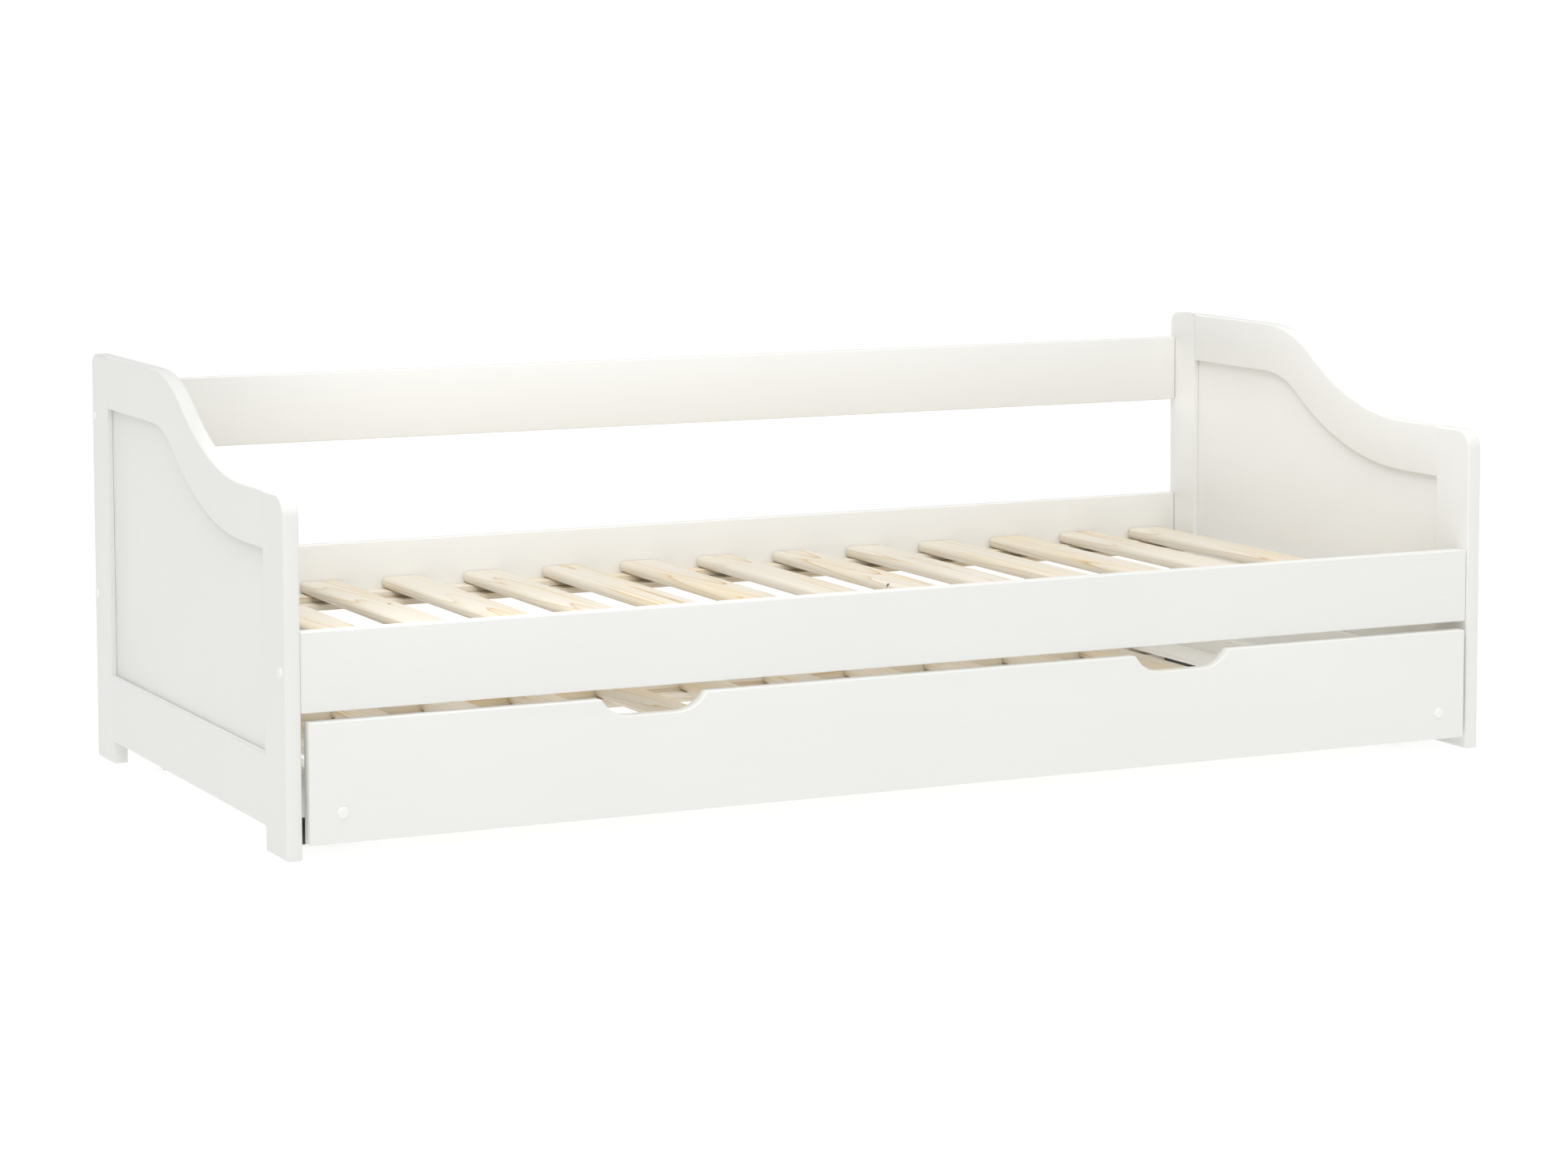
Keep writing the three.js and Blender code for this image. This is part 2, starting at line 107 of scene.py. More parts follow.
def painted_pine():
    """Satin white acrylic paint, two coats rolled on planed pine: a near-neutral white,
    with the pine's softer growth sunk a hair below its harder growth, so that faint
    streaks follow each board's length."""
    material, tree = empty_material("satin_white_paint_on_pine")
    grain = add(tree, "ShaderNodeAttribute", attribute_name="grain").outputs["Vector"]
    board = add(tree, "ShaderNodeAttribute", attribute_name="board").outputs["Fac"]
    # Each board reads another part of the pattern.
    shifted = add(tree, "ShaderNodeVectorMath", {
        0: add(tree, "ShaderNodeCombineXYZ", {"X": board, "Y": board, "Z": board}).outputs[0],
        1: (3.1, 7.7, 1.9),
        2: grain,
    }, operation="MULTIPLY_ADD").outputs[0]
    # Growth rings of 3 to 5 mm, drawn out 40 times along the board.
    stretched = add(tree, "ShaderNodeMapping", {
        "Vector": shifted, "Scale": (1.0, 0.025, 1.0),
    }).outputs[0]
    streaks = add(tree, "ShaderNodeTexNoise", {
        "Vector": stretched, "Scale": 260.0, "Detail": 3.0, "Roughness": 0.55,
    }).outputs["Fac"]
    clouds = add(tree, "ShaderNodeTexNoise", {
        "Vector": shifted, "Scale": 5.0, "Detail": 2.0,
    }).outputs["Fac"]
    # Orange peel of the roller, about 2 mm across.
    stipple = add(tree, "ShaderNodeTexNoise", {
        "Vector": shifted, "Scale": 480.0, "Detail": 1.0,
    }).outputs["Fac"]
    tone = add(tree, "ShaderNodeMath", {0: streaks, 1: 0.45, 2: 0.0}, operation="MULTIPLY_ADD")
    tone = add(tree, "ShaderNodeMath", {0: clouds, 1: 0.35, 2: tone.outputs[0]},
               operation="MULTIPLY_ADD").outputs[0]
    tone = add(tree, "ShaderNodeMath", {0: board, 1: 0.25, 2: tone},
               operation="MULTIPLY_ADD").outputs[0]
    colour = add(tree, "ShaderNodeMix", {
        0: tone, 6: linear("#E9E9E6"), 7: linear("#EFEFEC"),
    }, data_type="RGBA").outputs[2]
    gloss = add(tree, "ShaderNodeMapRange", {
        "Value": streaks, "From Min": 0.3, "From Max": 0.7, "To Min": 0.36, "To Max": 0.46,
    }).outputs[0]
    height = add(tree, "ShaderNodeMath", {0: stipple, 1: 0.25, 2: streaks},
                 operation="MULTIPLY_ADD").outputs[0]
    bump = add(tree, "ShaderNodeBump", {
        "Height": height, "Strength": 0.12, "Distance": 0.0006,
    }).outputs[0]
    paint = add(tree, "ShaderNodeBsdfPrincipled", {
        "Base Color": colour, "Roughness": gloss, "Normal": bump, "IOR": 1.5,
    })
    add(tree, "ShaderNodeOutputMaterial", {"Surface": paint.outputs[0]})
    return material


PAINT = painted_pine()


def settle(piece):
    """Turns a piece and its modifiers into one plain mesh."""
    graph = bpy.context.evaluated_depsgraph_get()
    mesh = bpy.data.meshes.new_from_object(piece.evaluated_get(graph))
    piece.modifiers.clear()
    piece.data = mesh
    mesh.polygons.foreach_set("use_smooth", [True] * len(mesh.polygons))
    mesh.set_sharp_from_angle(angle=SHADING_ANGLE)
    mesh.update()


def mark_grain(piece, along, board):
    """Writes where each point is in its board, with Y along the grain, and the board's
    own number from 0 to 1, which gives each board its own pattern and tone."""
    order = {"X": (1, 0, 2), "Y": (0, 1, 2), "Z": (1, 2, 0)}[along]
    points = piece.data.vertices
    grain = piece.data.attributes.new("grain", "FLOAT_VECTOR", "POINT")
    grain.data.foreach_set("vector", [p.co[i] for p in points for i in order])
    own = piece.data.attributes.new("board", "FLOAT", "POINT")
    own.data.foreach_set("value", [board] * len(points))


def eased_board(node, body, along, board, material, ease, ease_of=None):
    """A CAD board with its arrises taken off. ease_of(edge middle) is the share of the
    full ease that an edge gets."""
    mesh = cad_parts[node].data.copy()
    form = bmesh.new()
    form.from_mesh(mesh)
    bmesh.ops.remove_doubles(form, verts=form.verts, dist=WELD)
    bmesh.ops.dissolve_limit(
        form, angle_limit=FLAT_ANGLE, verts=form.verts, edges=form.edges,
    )
    weights = form.edges.layers.float.new("bevel_weight_edge")
    for edge in form.edges:
        if len(edge.link_faces) == 2 and edge.calc_face_angle() > ARRIS_ANGLE:
            middle = (edge.verts[0].co + edge.verts[1].co) / 2
            edge[weights] = ease_of(middle) if ease_of else 1.0
    form.to_mesh(mesh)
    form.free()
    mesh.materials.clear()
    mesh.materials.append(material)
    piece = bpy.data.objects.new(f"{node}_eased", mesh)
    bpy.context.scene.collection.objects.link(piece)
    bevel = piece.modifiers.new("ease", "BEVEL")
    bevel.limit_method = "WEIGHT"
    bevel.width = ease
    bevel.segments = FACETS
    bevel.use_clamp_overlap = True
    settle(piece)
    mark_grain(piece, along, board)
    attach(piece, body)
    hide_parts(node)


ON_FACE = 0.0005                   # an edge this near a broad face lies on it
ON_JOINT = 0.0012                  # an edge this near a post's inner side lies on the joint
REAR_POST_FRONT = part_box("left_rear_post")[0].y
FRONT_POST_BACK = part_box("left_front_post")[1].y
GRAIN_OF = {
    "rear_post": "Z", "front_post": "Z", "top_rail": "Y", "bottom_rail": "Y", "panel": "Z",
}


def end_frame_ease(side):
    """The ease of an edge of one end frame, from where the edge's middle is."""
    low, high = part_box(f"{side}_rear_post")
    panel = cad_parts[f"{side}_panel"]

    def share(middle):
        if min(abs(middle.x - low.x), abs(middle.x - high.x)) > ON_FACE:
            return HAIRLINE / POST_EASE
        to_joint = min(abs(middle.y - REAR_POST_FRONT), abs(middle.y - FRONT_POST_BACK))
        if to_joint < ON_JOINT:
            return JOINT_EASE / POST_EASE
        nearest = panel.closest_point_on_mesh(middle)[1]
        return PANEL_EASE / POST_EASE if (nearest - middle).length < PANEL_REACH else 1.0
    return share


for number, side in enumerate(("left", "right")):
    share_of = end_frame_ease(side)
    for place, (member, along) in enumerate(GRAIN_OF.items()):
        own = (0.17 + 0.37 * place + 0.51 * number) % 1
        eased_board(
            f"{side}_{member}", "bed", along, own, PAINT, POST_EASE, share_of,
        )

# ------------------------------------------------------------------------ long rails
# Backrest, rear rail and front rail: straight boards of the same painted pine between
# the end frames, held by screws through the posts.

RAIL_EASE = 0.002

for number, node in enumerate(("backrest_rail", "rear_rail", "front_rail")):
    eased_board(node, "bed", "X", 0.11 + 0.29 * number, PAINT, RAIL_EASE)

# -------------------------------------------------------------- ledgers and battens
# Bare planed pine strips screwed to the rails' inner faces. A narrow batten lies on each
# broad ledger, and the slats lie on the battens.

STRIP_EASE = 0.0008


def bare_pine():
    """Planed, unfinished pine: pale cream early growth and tan late growth in rings about
    6 mm apart, which a flat-sawn board shows as long arches, with a few brown knots."""
    material, tree = empty_material("planed_pine")
    grain = add(tree, "ShaderNodeAttribute", attribute_name="grain").outputs["Vector"]
    board = add(tree, "ShaderNodeAttribute", attribute_name="board").outputs["Fac"]
    spread = add(tree, "ShaderNodeCombineXYZ", {"X": board, "Y": board, "Z": board}).outputs[0]
    shifted = add(tree, "ShaderNodeVectorMath", {0: spread, 1: (5.3, 9.1, 3.7), 2: grain},
                  operation="MULTIPLY_ADD").outputs[0]
    # The heart of the log lies 18 to 73 mm below each board's middle and up to 22 mm to
    # one side, slopes gently against it, and the growth wanders by some millimetres.
    wander = add(tree, "ShaderNodeTexNoise", {
        "Vector": add(tree, "ShaderNodeMapping", {
            "Vector": shifted, "Scale": (5.0, 1.3, 5.0),
        }).outputs[0],
        "Scale": 1.0, "Detail": 2.0, "Roughness": 0.45,
    }).outputs["Color"]
    wander = add(tree, "ShaderNodeVectorMath", {0: wander, 1: (0.5, 0.5, 0.5)},
                 operation="SUBTRACT").outputs[0]
    bent = add(tree, "ShaderNodeVectorMath", {0: wander, 1: (0.026, 0.0, 0.026), 2: grain},
               operation="MULTIPLY_ADD").outputs[0]
    axis = add(tree, "ShaderNodeSeparateXYZ", {0: bent})
    below = add(tree, "ShaderNodeMath", {0: board, 1: 0.055, 2: 0.018},
                operation="MULTIPLY_ADD").outputs[0]
    aside = add(tree, "ShaderNodeMath", {
        0: add(tree, "ShaderNodeMath", {0: board, 1: 37.0}, operation="MULTIPLY").outputs[0],
    }, operation="SINE").outputs[0]
    lean = add(tree, "ShaderNodeMath", {0: aside, 1: 0.03}, operation="MULTIPLY").outputs[0]
    slope = add(tree, "ShaderNodeMath", {0: axis.outputs["Y"], 1: lean, 2: axis.outputs["Z"]},
                operation="MULTIPLY_ADD").outputs[0]
    rise = add(tree, "ShaderNodeMath", {0: slope, 1: below}, operation="ADD").outputs[0]
    across = add(tree, "ShaderNodeMath", {0: aside, 1: 0.022, 2: axis.outputs["X"]},
                 operation="MULTIPLY_ADD").outputs[0]
    # A wave of scale 1 repeats every 2 pi / 20 of a metre, so 52 sets rings 6 mm apart.
    rings = add(tree, "ShaderNodeTexWave", {
        "Vector": add(tree, "ShaderNodeCombineXYZ", {"X": across, "Z": rise}).outputs[0],
        "Scale": 52.0, "Distortion": 0.5, "Detail": 2.0, "Detail Scale": 3.0,
    }, wave_type="RINGS", rings_direction="Y", wave_profile="SAW").outputs["Fac"]
    # Fine fibres about a millimetre wide, drawn out along the board.
    fibres = add(tree, "ShaderNodeTexNoise", {
        "Vector": add(tree, "ShaderNodeMapping", {
            "Vector": shifted, "Scale": (1.0, 0.02, 1.0),
        }).outputs[0],
        "Scale": 700.0, "Detail": 3.0, "Roughness": 0.6,
    }).outputs["Fac"]
    clouds = add(tree, "ShaderNodeTexNoise", {
        "Vector": add(tree, "ShaderNodeMapping", {
            "Vector": shifted, "Scale": (14.0, 2.0, 14.0),
        }).outputs[0],
        "Scale": 1.0, "Detail": 2.0,
    }).outputs["Fac"]
    growth = add(tree, "ShaderNodeValToRGB", {0: rings})
    ramp = growth.color_ramp
    ramp.elements[0].position = 0.0
    ramp.elements[0].color = linear("#E0DCD3")
    ramp.elements[1].position = 1.0
    ramp.elements[1].color = linear("#E0DCD3")
    ramp.elements.new(0.68).color = linear("#DDD7CA")
    ramp.elements.new(0.86).color = linear("#D6C5A6")
    ramp.elements.new(0.92).color = linear("#B48F63")
    ramp.elements.new(0.955).color = linear("#E4DBCA")
    # Some rings are bold and some hardly show, by patches 70 mm wide and 500 mm long.
    bold = add(tree, "ShaderNodeMapRange", {
        "Value": clouds, "From Min": 0.38, "From Max": 0.62, "To Min": 0.25, "To Max": 1.0,
    }).outputs[0]
    toned = add(tree, "ShaderNodeMix", {
        0: bold, 6: linear("#E0DBD1"), 7: growth.outputs[0],
    }, data_type="RGBA").outputs[2]
    toned = add(tree, "ShaderNodeMix", {
        0: fibres, 6: toned, 7: linear("#F8F3EA"),
    }, data_type="RGBA", blend_type="MULTIPLY").outputs[2]
    warm = add(tree, "ShaderNodeMapRange", {
        "Value": clouds, "From Min": 0.5, "From Max": 0.7, "To Min": 0.0, "To Max": 0.5,
    }).outputs[0]
    toned = add(tree, "ShaderNodeMix", {
        0: warm, 6: toned, 7: linear("#DFCBA4"),
    }, data_type="RGBA").outputs[2]
    # One cell in five holds a dark knot 4 to 8 mm across.
    cells = add(tree, "ShaderNodeTexVoronoi", {
        "Vector": add(tree, "ShaderNodeMapping", {
            "Vector": shifted, "Scale": (1.0, 0.55, 0.6),
        }).outputs[0],
        "Scale": 13.0, "Randomness": 0.9,
    })
    chosen = add(tree, "ShaderNodeMath", {
        0: add(tree, "ShaderNodeSeparateColor", {0: cells.outputs["Color"]}).outputs[0], 1: 0.8,
    }, operation="GREATER_THAN").outputs[0]
    near = add(tree, "ShaderNodeMapRange", {
        "Value": cells.outputs["Distance"], "From Min": 0.025, "From Max": 0.05,
        "To Min": 1.0, "To Max": 0.0,
    }, interpolation_type="SMOOTHSTEP").outputs[0]
    knot = add(tree, "ShaderNodeMath", {0: near, 1: chosen}, operation="MULTIPLY").outputs[0]
    colour = add(tree, "ShaderNodeMix", {
        0: knot, 6: toned, 7: linear("#5A3A26"),
    }, data_type="RGBA").outputs[2]
    gloss = add(tree, "ShaderNodeMapRange", {
        "Value": fibres, "From Min": 0.3, "From Max": 0.7, "To Min": 0.5, "To Max": 0.66,
    }).outputs[0]
    height = add(tree, "ShaderNodeMath", {0: rings, 1: 0.5, 2: fibres},
                 operation="MULTIPLY_ADD").outputs[0]
    bump = add(tree, "ShaderNodeBump", {
        "Height": height, "Strength": 0.2, "Distance": 0.0004,
    }).outputs[0]
    wood = add(tree, "ShaderNodeBsdfPrincipled", {
        "Base Color": colour, "Roughness": gloss, "Normal": bump, "IOR": 1.5,
    })
    add(tree, "ShaderNodeOutputMaterial", {"Surface": wood.outputs[0]})
    return material


PINE = bare_pine()

for number, node in enumerate(("rear_batten", "rear_ledger", "front_batten", "front_ledger")):
    eased_board(node, "bed", "X", 0.23 + 0.19 * number, PINE, STRIP_EASE)

# ----------------------------------------------------------------------------- slats
# Fourteen flat pine slats with fully rounded long edges, laid across the bed with their
# ends a little short of the rails. Each comes from another part of the log.

SLAT_EDGE_RADIUS = 0.0085
SLAT_END_EASE = 0.0006
SLAT_PLAY = 0.0008                 # how far a slat may lie from its even place
END_ANGLE = math.radians(60)       # only the ends' arrises are sharper than this


def slat_row_tree():
    """A row of equal slats along X, each lying along Y, with the row's middle and the
    slats' mid-thickness at the origin."""
    tree = bpy.data.node_groups.new("slat_row", "GeometryNodeTree")
    for name, kind in {
        "Count": "NodeSocketInt", "Pitch": "NodeSocketFloat", "Width": "NodeSocketFloat",
        "Thickness": "NodeSocketFloat", "Length": "NodeSocketFloat",
        "Edge radius": "NodeSocketFloat", "Middle": "NodeSocketVector",
        "Play": "NodeSocketFloat", "Seed": "NodeSocketInt", "Material": "NodeSocketMaterial",
    }.items():
        tree.interface.new_socket(name, in_out="INPUT", socket_type=kind)
    tree.interface.new_socket("Geometry", in_out="OUTPUT", socket_type="NodeSocketGeometry")
    given = add(tree, "NodeGroupInput").outputs
    outline = add(tree, "GeometryNodeCurvePrimitiveQuadrilateral", {
        "Width": given["Width"], "Height": given["Thickness"],
    }, mode="RECTANGLE").outputs[0]
    outline = add(tree, "GeometryNodeFilletCurve", {
        "Curve": outline, "Radius": given["Edge radius"], "Count": 6,
    }, mode="POLY").outputs[0]
    half = add(tree, "ShaderNodeMath", {0: given["Length"], 1: 0.5},
               operation="MULTIPLY").outputs[0]
    back = add(tree, "ShaderNodeMath", {0: half, 1: -1.0}, operation="MULTIPLY").outputs[0]
    line = add(tree, "GeometryNodeCurvePrimitiveLine", {
        "Start": add(tree, "ShaderNodeCombineXYZ", {"Y": back}).outputs[0],
        "End": add(tree, "ShaderNodeCombineXYZ", {"Y": half}).outputs[0],
    }).outputs[0]
    line = add(tree, "GeometryNodeSetCurveNormal", {"Curve": line}, mode="Z_UP").outputs[0]
    slat = add(tree, "GeometryNodeCurveToMesh", {
        "Curve": line, "Profile Curve": outline, "Fill Caps": True,
    }).outputs[0]
    slat = add(tree, "GeometryNodeMergeByDistance", {
        "Geometry": slat, "Distance": 1e-5,
    }).outputs[0]
    slat = add(tree, "GeometryNodeStoreNamedAttribute", {
        "Geometry": slat, "Name": "grain", 3: add(tree, "GeometryNodeInputPosition").outputs[0],
    }, data_type="FLOAT_VECTOR", domain="POINT").outputs[0]
    before = add(tree, "ShaderNodeMath", {0: given["Count"], 1: -1.0},
                 operation="ADD").outputs[0]
    before = add(tree, "ShaderNodeMath", {0: before, 1: given["Pitch"]},
                 operation="MULTIPLY").outputs[0]
    before = add(tree, "ShaderNodeMath", {0: before, 1: -0.5}, operation="MULTIPLY").outputs[0]
    points = add(tree, "GeometryNodeMeshLine", {
        "Count": given["Count"],
        "Start Location": add(tree, "ShaderNodeCombineXYZ", {"X": before}).outputs[0],
        "Offset": add(tree, "ShaderNodeCombineXYZ", {"X": given["Pitch"]}).outputs[0],
    }).outputs[0]
    slack = add(tree, "ShaderNodeMath", {0: given["Play"], 1: -1.0},
                operation="MULTIPLY").outputs[0]
    nudge = add(tree, "FunctionNodeRandomValue", {
        2: slack, 3: given["Play"], "Seed": given["Seed"],
    }, data_type="FLOAT").outputs[1]
    points = add(tree, "GeometryNodeSetPosition", {
        "Geometry": points, "Offset": add(tree, "ShaderNodeCombineXYZ", {"X": nudge}).outputs[0],
    }).outputs[0]
    row = add(tree, "GeometryNodeInstanceOnPoints", {
        "Points": points, "Instance": slat,
    }).outputs[0]
    own = add(tree, "FunctionNodeRandomValue", {
        2: 0.0, 3: 1.0, "Seed": add(tree, "ShaderNodeMath", {0: given["Seed"], 1: 1.0},
                                    operation="ADD").outputs[0],
    }, data_type="FLOAT").outputs[1]
    row = add(tree, "GeometryNodeStoreNamedAttribute", {
        "Geometry": row, "Name": "board", "Value": own,
    }, data_type="FLOAT", domain="INSTANCE").outputs[0]
    row = add(tree, "GeometryNodeTransform", {
        "Geometry": row, "Translation": given["Middle"],
    }).outputs[0]
    row = add(tree, "GeometryNodeRealizeInstances", {"Geometry": row}).outputs[0]
    row = add(tree, "GeometryNodeSetMaterial", {
        "Geometry": row, "Material": given["Material"],
    }).outputs[0]
    add(tree, "NodeGroupOutput", {"Geometry": row})
    return tree


def grown(tree, name, values, base=None):
    """A plain mesh object made by a geometry tree from its named inputs."""
    piece = bpy.data.objects.new(name, base or bpy.data.meshes.new(name))
    bpy.context.scene.collection.objects.link(piece)
    modifier = piece.modifiers.new(name, "NODES")
    modifier.node_group = tree
    for item in tree.interface.items_tree:
        if item.name in values:
            modifier[item.identifier] = values[item.name]
    settle(piece)
    return piece


def slat_row(name, nodes, body, seed):
    """The slats that stand for a row of CAD slats, from the first and last one's box."""
    (low, high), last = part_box(nodes[0]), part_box(nodes[-1])
    piece = grown(SLAT_ROW, name, {
        "Count": len(nodes),
        "Pitch": (last[0].x - low.x) / (len(nodes) - 1),
        "Width": high.x - low.x,
        "Thickness": high.z - low.z,
        "Length": high.y - low.y,
        "Edge radius": SLAT_EDGE_RADIUS,
        "Middle": [(low.x + last[1].x) / 2, (low.y + high.y) / 2, (low.z + high.z) / 2],
        "Play": SLAT_PLAY,
        "Seed": seed,
        "Material": PINE,
    })
    ends = piece.modifiers.new("ends", "BEVEL")
    ends.limit_method = "ANGLE"
    ends.angle_limit = END_ANGLE
    ends.width = SLAT_END_EASE
    ends.segments = 2
    settle(piece)
    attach(piece, body)
    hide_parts(*nodes)


SLAT_ROW = slat_row_tree()
slat_row("slats", [f"slat_{n:02d}" for n in range(1, 15)], "bed", 4)

# --------------------------------------------------------------- trundle front board
# One long painted board with two shallow tubs cut into its top edge to pull it by, its
# edges and the tubs rounded over.

FRONT_BOARD_EASE = 0.0025

eased_board("trundle_front", "trundle", "X", 0.62, PAINT, FRONT_BOARD_EASE)

# ------------------------------------------------------------------------------ tray
# Painted side rails and a bare pine rear rail, screwed together at the corners, with pine
# ledgers inside for the slats, and a thin painted board beside the slats at each end.

TRAY_EASE = 0.0015

for number, node in enumerate(("trundle_left_rail", "trundle_right_rail")):
    eased_board(node, "trundle", "Y", 0.3 + 0.4 * number, PAINT, TRAY_EASE)
for number, node in enumerate(("trundle_left_cover", "trundle_right_cover")):
    eased_board(node, "trundle", "Y", 0.45 + 0.4 * number, PAINT, TRAY_EASE)
for number, member in enumerate(("rear_rail", "rear_ledger", "front_ledger")):
    own = 0.08 + 0.33 * number
    eased_board(f"trundle_{member}", "trundle", "X", own, PINE, STRIP_EASE)

slat_row("trundle_slats", [f"trundle_slat_{n:02d}" for n in range(1, 12)], "trundle", 21)

# ------------------------------------------------------------------------ screw caps
# White moulded plastic caps, 18 mm across, pressed over the screws that hold the rails
# and the tray: a low dome with a rounded rim, standing 3 mm proud of the board.

CAP_RADIUS = 0.009
CAP_RISE = 0.003
CAP_SIDES = 32
# How far the caps lie in from the back and the front of the bed, and above the lower edge
# of the board that their screw holds.
CAP_FROM_BACK, CAP_FROM_FRONT = 0.014, 0.018
CAP_UP_BACKREST, CAP_UP_REAR_RAIL, CAP_UP_FRONT_RAIL, CAP_UP_TRAY = 0.058, 0.046, 0.058, 0.038
# Height and radius of each ring of the dome, as shares of the cap's rise and radius.
CAP_RINGS = ((0.35, 0.99), (0.66, 0.93), (0.85, 0.82), (0.96, 0.6), (1.0, 0.3))


def cap_plastic():
    """Moulded white polypropylene: smooth, a little glossier than the paint."""
    material, tree = empty_material("white_moulded_plastic")
    place = add(tree, "ShaderNodeTexCoord").outputs["Object"]
    # A mottle about a millimetre across, from the melt's flow.
    mottle = add(tree, "ShaderNodeTexNoise", {"Vector": place, "Scale": 900.0, "Detail": 2.0})
    gloss = add(tree, "ShaderNodeMapRange", {
        "Value": mottle.outputs["Fac"], "To Min": 0.26, "To Max": 0.4,
    }).outputs[0]
    colour = add(tree, "ShaderNodeMix", {
        0: mottle.outputs["Fac"], 6: linear("#F1F0ED"), 7: linear("#F7F6F4"),
    }, data_type="RGBA").outputs[2]
    bump = add(tree, "ShaderNodeBump", {
        "Height": mottle.outputs["Fac"], "Strength": 0.05, "Distance": 0.0002,
    }).outputs[0]
    shell = add(tree, "ShaderNodeBsdfPrincipled", {
        "Base Color": colour, "Roughness": gloss, "Normal": bump, "IOR": 1.49,
    })
    add(tree, "ShaderNodeOutputMaterial", {"Surface": shell.outputs[0]})
    return material


def cap_tree():
    """A domed cap on each point of the base mesh, facing along its facing attribute."""
    tree = bpy.data.node_groups.new("screw_caps", "GeometryNodeTree")
    tree.interface.new_socket("Geometry", in_out="INPUT", socket_type="NodeSocketGeometry")
    for name, kind in {
        "Radius": "NodeSocketFloat", "Rise": "NodeSocketFloat", "Sides": "NodeSocketInt",
        "Material": "NodeSocketMaterial",
    }.items():
        tree.interface.new_socket(name, in_out="INPUT", socket_type=kind)
    tree.interface.new_socket("Geometry", in_out="OUTPUT", socket_type="NodeSocketGeometry")
    given = add(tree, "NodeGroupInput").outputs
    dome = add(tree, "GeometryNodeMeshCircle", {
        "Vertices": given["Sides"], "Radius": given["Radius"],
    }, fill_type="NGON").outputs[0]
    top, was_high, was_wide = None, 0.0, 1.0
    for high, wide in CAP_RINGS:
        lift = add(tree, "ShaderNodeMath", {0: given["Rise"], 1: high - was_high},
                   operation="MULTIPLY").outputs[0]
        inputs = {
            "Mesh": dome, "Offset": (0.0, 0.0, 1.0), "Offset Scale": lift, "Individual": False,
        }
        if top:
            inputs["Selection"] = top
        ring = add(tree, "GeometryNodeExtrudeMesh", inputs, mode="FACES")
        top = ring.outputs["Top"]
        dome = add(tree, "GeometryNodeScaleElements", {
            "Geometry": ring.outputs["Mesh"], "Selection": top, "Scale": wide / was_wide,
        }, domain="FACE").outputs[0]
        was_high, was_wide = high, wide
    facing = add(tree, "GeometryNodeInputNamedAttribute", {"Name": "facing"},
                 data_type="FLOAT_VECTOR").outputs[0]
    turn = add(tree, "FunctionNodeAlignRotationToVector", {"Vector": facing}, axis="Z").outputs[0]
    caps = add(tree, "GeometryNodeInstanceOnPoints", {
        "Points": given["Geometry"], "Instance": dome, "Rotation": turn,
    }).outputs[0]
    caps = add(tree, "GeometryNodeRealizeInstances", {"Geometry": caps}).outputs[0]
    caps = add(tree, "GeometryNodeSetMaterial", {
        "Geometry": caps, "Material": given["Material"],
    }).outputs[0]
    add(tree, "NodeGroupOutput", {"Geometry": caps})
    return tree


CAP_TREE = cap_tree()
CAP_PLASTIC = cap_plastic()


def screw_caps(name, body, places):
    """Caps at (centre, facing) places."""
    base = bpy.data.meshes.new(name)
    base.from_pydata([centre for centre, _ in places], [], [])
    facing = base.attributes.new("facing", "FLOAT_VECTOR", "POINT")
    facing.data.foreach_set("vector", [part for _, way in places for part in way])
    piece = grown(CAP_TREE, name, {
        "Radius": CAP_RADIUS, "Rise": CAP_RISE, "Sides": CAP_SIDES, "Material": CAP_PLASTIC,
    }, base)
    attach(piece, body)


def end_cap_places():
    """Each end's caps, in line with the backrest, the rear rail and the front rail."""
    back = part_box("left_rear_post")[1].y - CAP_FROM_BACK
    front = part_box("left_front_post")[0].y + CAP_FROM_FRONT
    rises = (
        (back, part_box("backrest_rail")[0].z + CAP_UP_BACKREST),
        (back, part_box("rear_rail")[0].z + CAP_UP_REAR_RAIL),
        (front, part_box("front_rail")[0].z + CAP_UP_FRONT_RAIL),
    )
    left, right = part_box("left_rear_post")[0].x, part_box("right_rear_post")[1].x
    ends = ((left, (-1.0, 0.0, 0.0)), (right, (1.0, 0.0, 0.0)))
    return [((x, y, z), way) for x, way in ends for y, z in rises]


def front_cap_places():
    """One cap where each side rail of the tray meets the front board."""
    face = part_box("trundle_front")[0].y
    places = []
    for side in ("left", "right"):
        low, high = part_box(f"trundle_{side}_rail")
        centre = ((low.x + high.x) / 2, face, low.z + CAP_UP_TRAY)
        places.append((centre, (0.0, -1.0, 0.0)))
    return places


screw_caps("end_frame_caps", "bed", end_cap_places())
screw_caps("trundle_front_caps", "trundle", front_cap_places())

# ---------------------------------------------------------------- carriers and wheels
# Four small black nylon wheels, moulded with a hub, a thin web and ribs. Each turns on an
# axle stub that goes through the tray's side rail to a moulded carrier against its inside.

CARRIER_EASE = 0.0006


